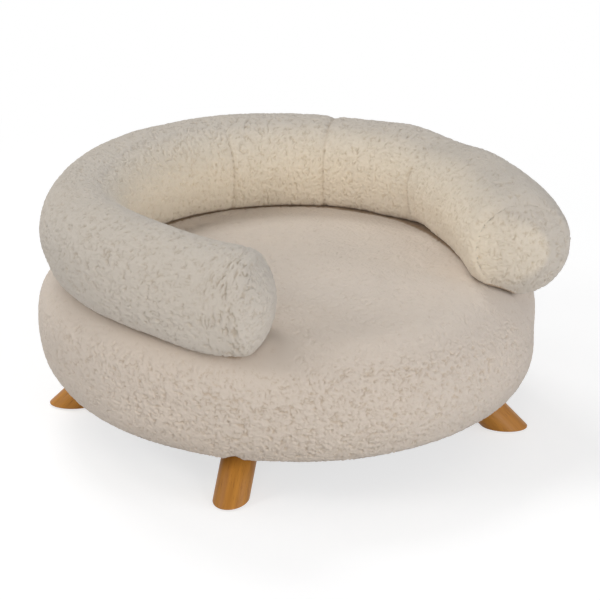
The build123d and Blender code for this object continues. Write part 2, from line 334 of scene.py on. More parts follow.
def curls(places):
    """Height of the pile: 1 on the tufts and 0 in the short narrow partings, one tuft a unit."""
    bent = places + 0.6 * np.stack(
        [noise(1.2 * places + shift) for shift in (3.1, 17.7, 31.3)], axis=-1
    )
    height = np.ones(places.shape[:-1])
    for size, depth, shift in partings:
        line = np.abs(noise(size * bent + shift))
        broken = smooth(-0.12, 0.22, noise(0.8 * size * places + shift + 20))
        height -= depth * broken * smooth(0.15, 0.0, line) * (height > 0) * height
    return height + 0.5 * noise(1.3 * bent + 24.4)


def lumps(points):
    """Slow unevenness of stuffed fabric, in metres."""
    return sum(height * noise(points / length + shift) for height, length, shift in lump_sizes)


# Meshes


def shell(name, outer, inner, wraps, **marks):
    """Closed cover of an outer grid of points, with its marks, and a coarser inner one, joined."""
    rows, columns = outer.shape[:2]
    outer_ids = np.arange(rows * columns).reshape(rows, columns)
    inner_ids = np.arange(inner.shape[0] * inner.shape[1]).reshape(inner.shape[:2]) + outer_ids.size
    if wraps:
        outer_ids = np.hstack([outer_ids, outer_ids[:, :1]])
        inner_ids = np.hstack([inner_ids, inner_ids[:, :1]])
    quads = []
    for ids in (outer_ids, inner_ids.T):
        quads.append(
            np.stack([ids[:-1, :-1], ids[1:, :-1], ids[1:, 1:], ids[:-1, 1:]], -1).reshape(-1, 4)
        )
    edges = [(outer_ids[0], inner_ids[0]), (outer_ids[-1, ::-1], inner_ids[-1, ::-1])]
    if not wraps:
        edges += [
            (outer_ids[::-1, 0], inner_ids[::-1, 0]),
            (outer_ids[:, -1], inner_ids[:, -1]),
        ]
    triangles = []
    for line, inner_line in edges:
        ratio = (len(line) - 1) // (len(inner_line) - 1)
        near = np.repeat(inner_line[:-1], ratio)
        triangles.append(np.stack([line[:-1], line[1:], near], -1))
        triangles.append(np.stack([line[ratio::ratio], inner_line[1:], inner_line[:-1]], -1))
    points = np.concatenate([outer.reshape(-1, 3), inner.reshape(-1, 3)])
    piece = mesh_piece(name, points, [np.concatenate(quads), np.concatenate(triangles)], marks)
    on_rim = np.zeros(len(points), bool)
    for line, _ in edges:
        on_rim[line] = True
    ends = np.empty(2 * len(piece.data.edges), np.int32)
    piece.data.edges.foreach_get("vertices", ends)
    sharp = piece.data.attributes.new("sharp_edge", "BOOLEAN", "EDGE")
    sharp.data.foreach_set("value", on_rim[ends].reshape(-1, 2).all(axis=1))
    return piece


def mesh_piece(name, points, face_sets, marks={}):
    """Object with a mesh of points and faces turned outward, and values marked on its points."""
    volume = sum(
        np.sum(
            points[faces[:, 0]]
            * np.cross(points[faces[:, k]], points[faces[:, k + 1]])
        )
        for faces in face_sets
        for k in range(1, faces.shape[1] - 1)
    )
    if volume < 0:
        face_sets = [faces[:, ::-1] for faces in face_sets]
    corners = np.concatenate([faces.ravel() for faces in face_sets])
    sizes = np.concatenate([np.full(len(faces), faces.shape[1]) for faces in face_sets])
    mesh = bpy.data.meshes.new(name)
    mesh.vertices.add(len(points))
    mesh.vertices.foreach_set("co", points.astype(np.float32).ravel())
    mesh.loops.add(len(corners))
    mesh.loops.foreach_set("vertex_index", corners.astype(np.int32))
    mesh.polygons.add(len(sizes))
    mesh.polygons.foreach_set("loop_start", (np.cumsum(sizes) - sizes).astype(np.int32))
    mesh.update(calc_edges=True)
    mesh.shade_smooth()
    for label, values in marks.items():
        marked = np.full(len(points), values.mean(), np.float32)
        marked[: values.size] = values.ravel()
        mesh.attributes.new(label, "FLOAT", "POINT").data.foreach_set("value", marked)
    piece = bpy.data.objects.new(name, mesh)
    bpy.context.scene.collection.objects.link(piece)
    return piece


def disc_grid(count):
    """Square grid of count cells a side laid over a disc: share of its radius, and turn."""
    line = np.linspace(-1, 1, count + 1)
    across, down = np.meshgrid(line, line, indexing="ij")
    share = np.maximum(np.abs(across), np.abs(down))
    quarter = np.rint(np.arctan2(down, across) / (pi / 2)) * pi / 2
    part = down * np.cos(quarter) - across * np.sin(quarter)
    return share, quarter + pi / 4 * part / np.where(share > 0, share, 1)


def square_places(share, turn):
    """Places on the disc grid's square, from -1 to 1, of shares and turns."""
    quarter = np.rint(turn / (pi / 2)) * pi / 2
    part = share * (turn - quarter) / (pi / 4)
    across = share * np.cos(quarter) - part * np.sin(quarter)
    down = share * np.sin(quarter) + part * np.cos(quarter)
    return across, down


def cells(length):
    """Count of pile steps along a length, in whole inner steps."""
    return inner_step_ratio * max(1, round(length / pile_step / inner_step_ratio))


def smooth(low, high, value):
    """0 at low, 1 at high, and a smooth change between."""
    share = np.clip((value - low) / (high - low), 0, 1)
    return share * share * (3 - 2 * share)


def dipped(distance):
    """How far a cover dips at a distance from its seam."""
    return seam_dip * (1 - smooth(0, seam_dip_run, distance))


# Blowing up


def spread(part, step):
    """Weight of the grid point a step away, for a place part of a step past the nearest."""
    return 0.75 - part**2 if step == 0 else 0.5 * (0.5 + step * part) ** 2


def between(values, row, column):
    """Smooth values at places between the points of a coarse grid."""
    near_row, near_column = np.rint(row).astype(int), np.rint(column).astype(int)
    total = 0
    for row_step, column_step in product((-1, 0, 1), repeat=2):
        rows = np.clip(near_row + row_step, 0, values.shape[0] - 1)
        columns = np.clip(near_column + column_step, 0, values.shape[1] - 1)
        weight = spread(row - near_row, row_step) * spread(column - near_column, column_step)
        total = total + weight * values[rows, columns]
    return total


def blown_up(name, points, outward, closing, held, pressure, spare):
    """Outward swell of a grid of cloth, blown up with its held points fixed.

    closing holds the points and faces that close the grid, and spare the extra cloth as a share.
    """
    extra_points, wraps, extra_faces = closing
    ids = np.arange(held.size).reshape(held.shape)
    if wraps:
        ids = np.hstack([ids, ids[:, :1]])
    quads = np.stack([ids[:-1, :-1], ids[1:, :-1], ids[1:, 1:], ids[:-1, 1:]], -1).reshape(-1, 4)
    every_point = np.concatenate([points.reshape(-1, 3), extra_points])
    cloth = mesh_piece(name, every_point, [quads, extra_faces])
    pins = cloth.vertex_groups.new(name="held")
    fixed = np.concatenate([np.flatnonzero(held), np.arange(held.size, len(every_point))])
    pins.add(fixed.tolist(), 1.0, "REPLACE")
    blowing = cloth.modifiers.new("blowing", "CLOTH")
    blowing.point_cache.frame_end = blow_frames
    blowing.collision_settings.use_collision = False
    settings = blowing.settings
    settings.vertex_group_mass = pins.name
    settings.effector_weights.gravity = 0
    settings.use_pressure = True
    settings.uniform_pressure_force = pressure
    settings.shrink_min = -spare
    settings.mass = 0.002
    settings.tension_stiffness = 5
    settings.compression_stiffness = 5
    for frame_number in range(1, blow_frames + 1):
        bpy.context.scene.frame_set(frame_number)
    blown = cloth.evaluated_get(bpy.context.evaluated_depsgraph_get()).data
    places = np.empty(3 * len(every_point), np.float32)
    blown.vertices.foreach_get("co", places)
    bpy.data.objects.remove(cloth)
    moved = places.reshape(-1, 3)[: held.size].reshape(points.shape) - points
    swell = np.sum(moved * outward, axis=-1)
    return most_swell * np.tanh(swell / most_swell)


# Seat covers

line_runs = np.linspace(left_end - end_puff / 2, right_end + end_puff / 2, 240)
line_middles, line_outward, line_ways = bolster_line(np.clip(line_runs, left_end, right_end))
beyond = line_runs - np.clip(line_runs, left_end, right_end)
line_middles = line_middles + line_ways * beyond[:, None]


def beside_bolster(points):
    """Distance of points outward from the bolster's middle line, seen from above, and its run."""
    nearest = np.full(points.shape[:-1], 1.0)
    beside = np.ones(points.shape[:-1])
    run = np.zeros(points.shape[:-1])
    for here, middle, outward in zip(line_runs, line_middles, line_outward):
        across = points[..., :2] - middle[:2]
        gap = np.hypot(across[..., 0], across[..., 1])
        closer = gap < nearest
        run = np.where(closer, here, run)
        beside = np.where(closer, gap * np.where(across @ outward[:2] > 0, 1, -1), beside)
        nearest = np.minimum(nearest, gap)
    return beside, run


def pushed(beside, run):
    """How far the seat's padding is pushed up beside the bolster and down under it."""
    away = np.abs(beside)
    up = smooth(*push_rise, away) * smooth(*push_fall, away)
    up = up * smooth(*push_end_fade, from_nearer_end(run))
    height = inner_push + (outer_push - inner_push) * smooth(*push_sides, beside)
    return height * up - under_press * smooth(*under_fade, away)


share, turn = disc_grid(cloth_cells)
run = share * section_length
points, outward = seat_points(run, turn)
glued_run = glued_share * top_seam_run
points -= outward * (slack * smooth(glued_run, 1.1 * top_seam_run, run))[..., None]
ids = np.arange(share.size).reshape(share.shape)
rim = np.concatenate([ids[0], ids[1:, -1], ids[-1, -2::-1], ids[-2:0:-1, 0]])
below = np.array([[0, 0, hem_underside]])
closing = (below, False, np.stack([rim, np.roll(rim, -1), np.full(len(rim), share.size)], -1))
held = (run < glued_run) | (share > held_rim)
seat_blown = blown_up("seat_cloth", points, outward, closing, held, seat_pressure, seat_spare)


def seat_swell(run, turn):
    """How far the blown-up cover lies outside the seat's section."""
    across, down = square_places(run / section_length, turn)
    half = cloth_cells / 2
    swell = between(seat_blown, half * (across + 1), half * (down + 1))
    return swell - slack * smooth(glued_run, 1.1 * top_seam_run, run)


def seat_sag(run, turn):
    """How far the side hangs lower near its hem, and is drawn tighter at the right."""
    slope = seat_section(run)[..., 3]
    hang = smooth(0.1, -0.8, slope) * smooth(*hang_fade, section_length - run)
    tight = smooth(0.9, 0.4, slope) * smooth(0.3, 0.9, np.cos(turn - tight_turn))
    sag = sag_least + sag_more * (0.5 + 0.5 * np.cos(turn - sag_turn)) ** 2
    return sag * hang - tight_depth * tight


def seat_cover(name, run, turn, seam_distance):
    """One sewn panel of the seat's cover, with its pile, over a grid of runs and turns."""
    points, outward = seat_points(run, turn)
    slope = seat_section(run)[..., 3]
    upper = smooth(-0.1, 0.45, slope)
    beside, bolster_run = beside_bolster(points)
    loose = 1 - upper * smooth(*flat_fade, np.abs(beside))
    # Painted shade: the seat's cover darker where it meets the bolster, fading near the bolster's
    # ends and down the side
    pressed = smooth(*inner_shade_fade, beside) * smooth(*outer_shade_fade, beside)
    pressed = pressed * smooth(*shade_end_fade, from_nearer_end(bolster_run))
    pressed = pressed * smooth(0.6, 0.85, slope)
    facing = np.maximum(np.cos(turn - deepest_turn), -0.3)
    deep = top_depth + smooth(0.8, 0.3, slope) * (side_depth + side_depth_swing * facing)
    height = 1 + (curls(points * (1, 1, 1.25) / curl_size) - 1) * deep
    stand = flat_pile_share + (1 - flat_pile_share) * loose
    rise = (height - mean_curl) * curl_height * stand + lumps(points) * loose
    rise += (
        seat_swell(run, turn)
        + upper * pushed(beside, bolster_run)
        + seat_sag(run, turn)
        - side_seam_share * dipped(seam_distance)
    )
    up_from_hem = section_length - run
    notch = smooth(*notch_width_fade, seam_distance) * smooth(*notch_height_fade, up_from_hem)
    rise -= hem_notch * notch
    rise *= smooth(*hem_fade, up_from_hem)
    outer = points + outward * rise[..., None]
    skip = slice(None, None, inner_step_ratio)
    inner = points[skip, skip] - outward[skip, skip] * (cover_thickness + slack)
    return shell(name, outer, inner, False, curl=height, pressed=pressed)


share, turn = disc_grid(cells(sqrt(pi) * top_seam_run))
seat_top = seat_cover("seat_top_cover", share * top_seam_run, turn, np.ones(share.shape))
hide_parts("seat_top_panel")

side_height = section_length - top_seam_run
seat_sides = []
for side_name, first_turn in (("front", side_seam), ("rear", side_seam + pi)):
    run_line = np.linspace(top_seam_run, section_length, cells(side_height) + 1)
    turn_line = np.linspace(first_turn, first_turn + pi, cells(pi * seat_radius) + 1)
    run, turn = np.meshgrid(run_line, turn_line, indexing="ij")
    from_side_seam = seat_radius * np.minimum(turn - first_turn, first_turn + pi - turn)
    seat_side = seat_cover(f"seat_side_cover_{side_name}", run, turn, from_side_seam)
    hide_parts(f"seat_side_panel_{side_name}")
    seat_sides.append(seat_side)

# Bolster covers


def rest_on_seat(points, beside, run, gap):
    """Points lifted to lie no lower than a gap over the seat, and how near each is to it."""
    top = seat_height(np.hypot(points[..., 0], points[..., 1])) + pushed(beside, run) + gap
    lifted = points.copy()
    lifted[..., 2] = np.maximum(points[..., 2], top)
    return lifted, smooth(contact_depth, 0, points[..., 2] - top)


def tube_points(run, around):
    """Points and outward directions on the bolster's tube."""
    middle, out, _ = bolster_line(run)
    way = out * np.cos(around)[..., None] + np.array([0, 0, 1]) * np.sin(around)[..., None]
    return middle + way * bolster_girth(run)[..., None], way


def seam_hold(around, angle):
    """1 where a seam pulls in, up to an angle either way from the bolster's inner side."""
    off = np.abs(np.mod(around, 2 * pi) - pi)
    return smooth(angle + 0.3, angle - 0.3, off)


blown_runs = np.concatenate(
    [
        np.linspace(start, end, max(4, round((end - start) / cloth_step)), endpoint=False)
        for start, end in zip(seam_runs, seam_runs[1:])
    ]
    + [[right_end]]
)
blown_count = round(2 * pi * bolster_radius / cloth_step)
around_line = np.linspace(0, 2 * pi, blown_count, endpoint=False)
run, around = np.meshgrid(blown_runs, around_line, indexing="ij")
points, outward = tube_points(run, around)
room = points[..., 2] - seat_height(np.hypot(points[..., 0], points[..., 1]))


def start_inside(run):
    """How far inside its place the bolster's cloth starts."""
    return slack * smooth(*slack_end_fade, from_nearer_end(run))


held = (room < held_room) | (from_nearer_end(run) < held_near)
for seam_run, angle in zip(seam_runs[1:-1], seam_holds):
    held |= (np.abs(run - seam_run) < held_near) & (seam_hold(around, angle) > 0.5)
points -= outward * start_inside(run)[..., None]
poles = []
for end_run, side in ((left_end, -1), (right_end, 1)):
    middle, _, way = bolster_line(np.array(end_run))
    poles.append(middle + side * end_puff * way)
ids = np.arange(run.size).reshape(run.shape)
closing_faces = [
    np.stack([ids[0], np.roll(ids[0], -1), np.full(blown_count, run.size)], -1),
    np.stack([np.roll(ids[-1], -1), ids[-1], np.full(blown_count, run.size + 1)], -1),
]
closing = (np.array(poles), True, np.concatenate(closing_faces))
bolster_blown = blown_up(
    "bolster_cloth", points, outward, closing, held, bolster_pressure, bolster_spare
)
bolster_blown = np.pad(bolster_blown, ((0, 0), (2, 2)), "wrap")


def bolster_swell(run, around):
    """How far the blown-up cover lies outside the plain tube, squashed wide at its foot."""
    row = np.interp(run, blown_runs, np.arange(len(blown_runs)))
    column = 2 + np.mod(around, 2 * pi) / (2 * pi) * blown_count
    foot = np.abs(np.abs(np.mod(around, 2 * pi) - 1.5 * pi) - squash_angle)
    squash = squash_swell * smooth(squash_spread, 0, foot)
    from_end = from_nearer_end(run)
    squash = squash * smooth(*squash_end_fade, from_end)
    lost = outer_squash_loss * smooth(*outer_squash_fade, from_end)
    squash = squash * (1 - lost * smooth(0, 0.2, np.cos(around)))
    return between(bolster_blown, row, column) - start_inside(run) + squash


def seam_dips(run, around):
    """How far the cover dips at the bolster's seams, most where they pull in."""
    dip = end_seam_share * dipped(from_nearer_end(run))
    for seam_run, angle in zip(seam_runs[1:-1], seam_holds):
        dip = dip + dipped(np.abs(run - seam_run)) * (0.15 + 0.85 * seam_hold(around, angle))
    return dip


def tube_pile(run, around):
    """Curls on the bolster at runs and turns round it, combed into streaks near the left end."""
    combed_share = smooth(*streak_fade, run - left_end)
    ring = np.stack([np.cos(around), np.sin(around)], axis=-1) * bolster_radius
    places = np.concatenate([run[..., None], ring], axis=-1) / curl_size
    plain = curls(places + 40)
    if not combed_share.any():
        return plain
    combed = 1 + streak_depth * (curls(places * (1.5, 0.4, 0.4) + 80) - 1)
    return plain + (combed - plain) * combed_share


def bolster_cover(name, run, around):
    """One sewn panel of the bolster's cover, over a grid of runs and turns round the tube."""
    points, outward = tube_points(run, around)
    height = 1 + (tube_pile(run, around) - 1) * bolster_depth
    points += outward * bolster_swell(run, around)[..., None]
    beside = np.cos(around) * bolster_radius
    _, near = rest_on_seat(points, beside, run, 0)
    stand = 1 - (1 - flat_pile_share) * near
    rise = (height - mean_curl) * curl_height * stand + lumps(points + 0.5) * (1 - near)
    rise -= seam_dips(run, around)
    outer, _ = rest_on_seat(points + outward * rise[..., None], beside, run, contact_gap)
    skip = slice(None, None, inner_step_ratio)
    inner = points[skip, skip] - outward[skip, skip] * cover_thickness
    inner_gap = contact_gap + cover_thickness
    inner, _ = rest_on_seat(inner, beside[skip, skip], run[skip, skip], inner_gap)
    # Painted shade: the bolster darker where it rests on the seat and along its seams
    pressed = near
    for seam_run, angle in zip(seam_runs[1:-1], seam_holds):
        line = smooth(seam_shade_run, 0, np.abs(run - seam_run)) * seam_hold(around, angle)
        pressed = np.maximum(pressed, seam_shade * line)
    # Share towards the inner side, which sets the painted light tones
    inward = 0.5 - 0.5 * np.cos(around)
    return shell(name, outer, inner, True, curl=height, pressed=pressed, inward=inward)


panel_names = ("left_arm", "left_side", "back_left", "back_right", "right_side", "right_arm")
bolster_covers = []
around_count = cells(2 * pi * bolster_radius)
around_line = np.linspace(0, 2 * pi, around_count, endpoint=False)
for panel_name, start, end in zip(panel_names, seam_runs, seam_runs[1:]):
    run_line = np.linspace(start, end, cells(end - start) + 1)
    run, around = np.meshgrid(run_line, around_line, indexing="ij")
    cover = bolster_cover(f"bolster_cover_{panel_name}", run, around)
    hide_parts(f"bolster_panel_{panel_name}")
    bolster_covers.append(cover)


def end_points(end_run):
    """Function that gives points and outward directions on the bolster's puffed end."""
    middle, out, way = bolster_line(np.array(end_run))
    away = way if end_run > 0 else -way
    rim = float(bolster_girth(np.array(end_run)))
    dome_radius = (rim**2 + end_puff**2) / (2 * end_puff)
    edge = np.arcsin(rim / dome_radius)

    def points_at(share, around):
        lean = share * edge
        ring = out * np.cos(around)[..., None] + np.array([0, 0, 1]) * np.sin(around)[..., None]
        outward = ring * np.sin(lean)[..., None] + away * np.cos(lean)[..., None]
        return middle + outward * dome_radius - away * (dome_radius - end_puff), outward

    return points_at, dome_radius * edge


# Painted light on the caps: the left one toned like the darker outer side, the right one mostly
# like the lighter inner side
for cap_name, end_run, cap_painted_light in (("left", left_end, 0.4), ("right", right_end, 0.86)):
    points_at, rim_run = end_points(end_run)
    share, around = disc_grid(cells(sqrt(pi) * rim_run))
    points, outward = points_at(share, around)
    beside = np.cos(around) * share * bolster_radius
    height = 1 + (curls(points / curl_size + 60) - 1) * bolster_depth
    _, near = rest_on_seat(points, beside, end_run, 0)
    rise = (height - mean_curl) * curl_height * (1 - (1 - flat_pile_share) * near)
    rise -= end_seam_share * dipped((1 - share) * rim_run)
    outer, _ = rest_on_seat(points + outward * rise[..., None], beside, end_run, contact_gap)
    skip = slice(None, None, inner_step_ratio)
    inner = points[skip, skip] - outward[skip, skip] * cover_thickness
    inner_gap = contact_gap + cover_thickness
    inner, _ = rest_on_seat(inner, beside[skip, skip], end_run, inner_gap)
    inward = cap_painted_light + (0.5 - 0.5 * np.cos(around) - cap_painted_light) * smooth(0.4, 1, share)
    # Painted shade where the cap rests on the seat
    marks = {"curl": height, "pressed": near, "inward": inward}
    cap = shell(f"bolster_end_{cap_name}", outer, inner, False, **marks)
    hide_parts(f"bolster_end_cap_{cap_name}")
    bolster_covers.append(cap)

# Hidden padding

share, turn = disc_grid(padding_cells)
foam_depth = cover_thickness + wadding_thickness
foam_run = share * section_length
points, outward = seat_points(foam_run, turn)
foam_outer = points - outward * (foam_depth + slack)
foam_outer[..., 2] = np.maximum(foam_outer[..., 2], board_top)
skip = slice(None, None, inner_step_ratio)
foam_floor = foam_outer[skip, skip].copy()
foam_rim = np.hypot(foam_outer[0, :, 0], foam_outer[0, :, 1]).max()
floor_share, floor_turn = share[skip, skip], turn[skip, skip]
foam_floor[..., 0] = foam_rim * floor_share * np.cos(floor_turn)
foam_floor[..., 1] = foam_rim * floor_share * np.sin(floor_turn)
foam_floor[..., 2] = board_top
seat_foam = shell("foam_block", foam_outer, foam_floor, False)
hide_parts("seat_foam")

wadding_run = share * (section_length - hem_width)
points, outward = seat_points(wadding_run, turn)
wadding_outer = points - outward * (cover_thickness + slack + layer_gap)
wadding_inner = points[skip, skip] - outward[skip, skip] * (foam_depth + slack - layer_gap)
seat_wadding = shell("wadding_layer", wadding_outer, wadding_inner, False)
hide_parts("seat_wadding")

run_line = np.linspace(left_end, right_end, filling_rings)
around_line = np.linspace(0, 2 * pi, filling_sides, endpoint=False)
run, around = np.meshgrid(run_line, around_line, indexing="ij")
points, outward = tube_points(run, around)
beside = np.cos(around) * bolster_radius
fill_outer = points - outward * (cover_thickness + slack + 2 * layer_gap)
fill_outer, _ = rest_on_seat(fill_outer, beside, run, filling_gap)
fill_core, _ = rest_on_seat(points - outward * core_depth, beside, run, core_gap)
bolster_filling = shell("bolster_stuffing", fill_outer, fill_core, True)
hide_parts("bolster_filling")

# Materials


def node(tree, kind, inputs=None, **settings):
    """New shader node with its settings, and its inputs set or linked."""
    made = tree.nodes.new(kind)
    for label, value in settings.items():
        setattr(made, label, value)
    for label, value in (inputs or {}).items():
        if isinstance(value, bpy.types.NodeSocket):
            tree.links.new(value, made.inputs[label])
        else:
            made.inputs[label].default_value = value
    return made


def group(name, inputs, outputs):
    """New shader group with its sockets, and its input and output nodes."""
    tree = bpy.data.node_groups.new(name, "ShaderNodeTree")
    for label, kind, value in inputs:
        socket = tree.interface.new_socket(label, in_out="INPUT", socket_type=kind)
        if value is not None:
            socket.default_value = value
    for label, kind in outputs:
        tree.interface.new_socket(label, in_out="OUTPUT", socket_type=kind)
    return tree, tree.nodes.new("NodeGroupInput"), tree.nodes.new("NodeGroupOutput")


def use(tree, shared, inputs):
    """A shared group placed in a material with its own values."""
    return node(tree, "ShaderNodeGroup", inputs, node_tree=shared)


def mottled():
    """Two colours mixed by soft patches, for cloth, foam and wood alike."""
    tree, given, result = group(
        "mottle",
        [
            ("Vector", "NodeSocketVector", None),
            ("Scale", "NodeSocketFloat", 10.0),
            ("Light", "NodeSocketColor", (1, 1, 1, 1)),
            ("Dark", "NodeSocketColor", (0, 0, 0, 1)),
        ],
        [("Color", "NodeSocketColor"), ("Mask", "NodeSocketFloat")],
    )
    patches = node(
        tree,
        "ShaderNodeTexNoise",
        {"Vector": given.outputs["Vector"], "Scale": given.outputs["Scale"], "Detail": 4.0},
    )
    spread = node(
        tree,
        "ShaderNodeMapRange",
        {"Value": patches.outputs["Fac"], "From Min": 0.3, "From Max": 0.7},
    )
    mixed = node(tree, "ShaderNodeMix", data_type="RGBA")
    tree.links.new(spread.outputs["Result"], mixed.inputs[0])
    tree.links.new(given.outputs["Light"], mixed.inputs[6])
    tree.links.new(given.outputs["Dark"], mixed.inputs[7])
    tree.links.new(mixed.outputs[2], result.inputs["Color"])
    tree.links.new(spread.outputs["Result"], result.inputs["Mask"])
    return tree


def fuzzy():
    """Fine fibres as a bump."""
    tree, given, result = group(
        "fibres",
        [
            ("Vector", "NodeSocketVector", None),
            ("Scale", "NodeSocketFloat", 600.0),
            ("Depth", "NodeSocketFloat", 0.0006),
        ],
        [("Normal", "NodeSocketVector"), ("Mask", "NodeSocketFloat")],
    )
    strands = node(
        tree,
        "ShaderNodeTexNoise",
        {
            "Vector": given.outputs["Vector"],
            "Scale": given.outputs["Scale"],
            "Detail": 3.0,
            "Distortion": 1.6,
        },
    )
    raised = node(
        tree,
        "ShaderNodeBump",
        {
            "Height": strands.outputs["Fac"],
            "Distance": given.outputs["Depth"],
            "Strength": 1.0,
        },
    )
    tree.links.new(raised.outputs["Normal"], result.inputs["Normal"])
    tree.links.new(strands.outputs["Fac"], result.inputs["Mask"])
    return tree


mottle = mottled()
fibres = fuzzy()


def material(name, **settings):
    """New material with its shader's own sockets set, its tree, shader and object coordinates."""
    made = bpy.data.materials.new(name)
    made.use_nodes = True
    tree = made.node_tree
    shader = tree.nodes["Principled BSDF"]
    for label, value in settings.items():
        shader.inputs[label.replace("_", " ")].default_value = value
    return made, tree, shader, node(tree, "ShaderNodeTexCoord").outputs["Object"]


def link(tree, source, target):
    tree.links.new(source, target)


# Painted shade: the tone the pile darkens to in its partings
painted_parting_shade = (0.60, 0.50, 0.40, 1)
# Painted shade: the brown the pile darkens to where covers meet and along seams
pressed_tone = (0.30, 0.18, 0.08, 1)


def curly_cloth(name, light, dark, painted_side_tones=None):
    """Cream pile, with painted shade in its partings, where covers meet and along seams, and its
    inner side painted lighter and outer side darker by given tones.
    """
    made, tree, shader, where = material(name, Roughness=0.95)
    shader.inputs["Sheen Weight"].default_value = 0.15
    shader.inputs["Sheen Roughness"].default_value = 0.6
    shader.inputs["Specular IOR Level"].default_value = 0.15

    def mixed(mask, low, high, start, end):
        """Two colours or sockets mixed as a mask goes from start to end."""
        share = node(
            tree, "ShaderNodeMapRange", {"Value": mask, "From Min": start, "From Max": end}
        )
        mix = node(tree, "ShaderNodeMix", data_type="RGBA")
        link(tree, share.outputs["Result"], mix.inputs[0])
        for socket, value in ((mix.inputs[6], low), (mix.inputs[7], high)):
            if isinstance(value, bpy.types.NodeSocket):
                link(tree, value, socket)
            else:
                socket.default_value = value
        return mix.outputs[2]

    def mark(label):
        return node(tree, "ShaderNodeAttribute", attribute_name=label).outputs["Fac"]

    patches = use(
        tree, mottle, {"Vector": where, "Scale": 9.0, "Light": light, "Dark": dark}
    )
    # Painted shade in the pile's partings
    colour = mixed(mark("curl"), painted_parting_shade, patches.outputs["Color"], 0.1, 0.75)
    # Painted light: lighter and warmer towards the inner side, darker and greyer on the outer side
    if painted_side_tones:
        toned = node(tree, "ShaderNodeMix", {0: 1.0}, data_type="RGBA", blend_type="MULTIPLY")
        link(tree, colour, toned.inputs[6])
        link(tree, mixed(mark("inward"), *painted_side_tones, 0.66, 1.0), toned.inputs[7])
        colour = toned.outputs[2]
    # Painted shade at the creases and seams
    colour = mixed(mark("pressed"), colour, pressed_tone, 0.3, 1.1)
    link(tree, colour, shader.inputs["Base Color"])
    fine = use(tree, fibres, {"Vector": where, "Scale": 700.0, "Depth": 0.0003})
    link(tree, fine.outputs["Normal"], shader.inputs["Normal"])
    return made


def soft_layer(name, light, dark, scale, depth):
    """Foam, wadding, thread and other plain soft stuff."""
    made, tree, shader, where = material(name, Roughness=0.9)
    patches = use(
        tree, mottle, {"Vector": where, "Scale": scale / 4, "Light": light, "Dark": dark}
    )
    fine = use(tree, fibres, {"Vector": where, "Scale": scale, "Depth": depth})
    link(tree, patches.outputs["Color"], shader.inputs["Base Color"])
    link(tree, fine.outputs["Normal"], shader.inputs["Normal"])
    return made


def oiled_wood(name, direction, light, dark_streaks, pore_colour, top_shade):
    """Wood with its grain along a direction, and painted shade darker towards the top, under the
    seat, by a share.
    """
    made, tree, shader, where = material(name, Roughness=0.42, Specular_IOR_Level=0.3)
    lay = Vector(direction).to_track_quat("Z", "Y").to_euler()
    along = node(
        tree,
        "ShaderNodeMapping",
        {"Vector": where, "Rotation": lay},
        vector_type="TEXTURE",
    )
    stretched = node(
        tree, "ShaderNodeMapping", {"Vector": along.outputs["Vector"], "Scale": (1, 1, 0.07)}
    ).outputs["Vector"]
    grain = use(
        tree,
        mottle,
        {
            "Vector": stretched,
            "Scale": 130.0,
            "Light": light,
            "Dark": dark_streaks,
        },
    )
    pores = node(
        tree, "ShaderNodeTexNoise", {"Vector": stretched, "Scale": 900.0, "Detail": 2.0}
    )
    dark = node(
        tree,
        "ShaderNodeMapRange",
        {"Value": pores.outputs["Fac"], "From Min": 0.25, "From Max": 0.42},
    )
    colour = node(tree, "ShaderNodeMix", data_type="RGBA")
    link(tree, dark.outputs["Result"], colour.inputs[0])
    colour.inputs[6].default_value = pore_colour
    link(tree, grain.outputs["Color"], colour.inputs[7])
    # Painted shade: the wood darker towards its top, where the seat shades it
    height = node(tree, "ShaderNodeSeparateXYZ", {0: where}).outputs["Z"]
    upper = node(
        tree,
        "ShaderNodeMapRange",
        {"Value": height, "From Min": 0.04, "From Max": 0.07, "To Max": top_shade},
    )
    top_shaded = node(tree, "ShaderNodeMix", data_type="RGBA")
    link(tree, upper.outputs["Result"], top_shaded.inputs[0])
    link(tree, colour.outputs[2], top_shaded.inputs[6])
    top_shaded.inputs[7].default_value = (0.17, 0.06, 0.008, 1)
    link(tree, top_shaded.outputs[2], shader.inputs["Base Color"])
    raised = node(
        tree,
        "ShaderNodeBump",
        {"Height": pores.outputs["Fac"], "Distance": 0.0002, "Strength": 0.6},
    )
    link(tree, raised.outputs["Normal"], shader.inputs["Normal"])
    return made


def brushed(name, colour, metallic, roughness, scale):
    """Steel or plastic with faint scratches."""
    made, tree, shader, where = material(name, Metallic=metallic)
    worn = use(
        tree,
        mottle,
        {
            "Vector": where,
            "Scale": scale,
            "Light": (*colour, 1),
            "Dark": (*(0.75 * part for part in colour), 1),
        },
    )
    rough = node(
        tree,
        "ShaderNodeMapRange",
        {
            "Value": worn.outputs["Mask"],
            "To Min": roughness - 0.08,
            "To Max": roughness + 0.1,
        },
    )
    link(tree, worn.outputs["Color"], shader.inputs["Base Color"])
    link(tree, rough.outputs["Result"], shader.inputs["Roughness"])
    return made


cream, pale_cream = (0.69, 0.598, 0.508, 1), (0.665, 0.582, 0.5, 1)
seat_pile = curly_cloth("seat_curly_pile", cream, pale_cream)
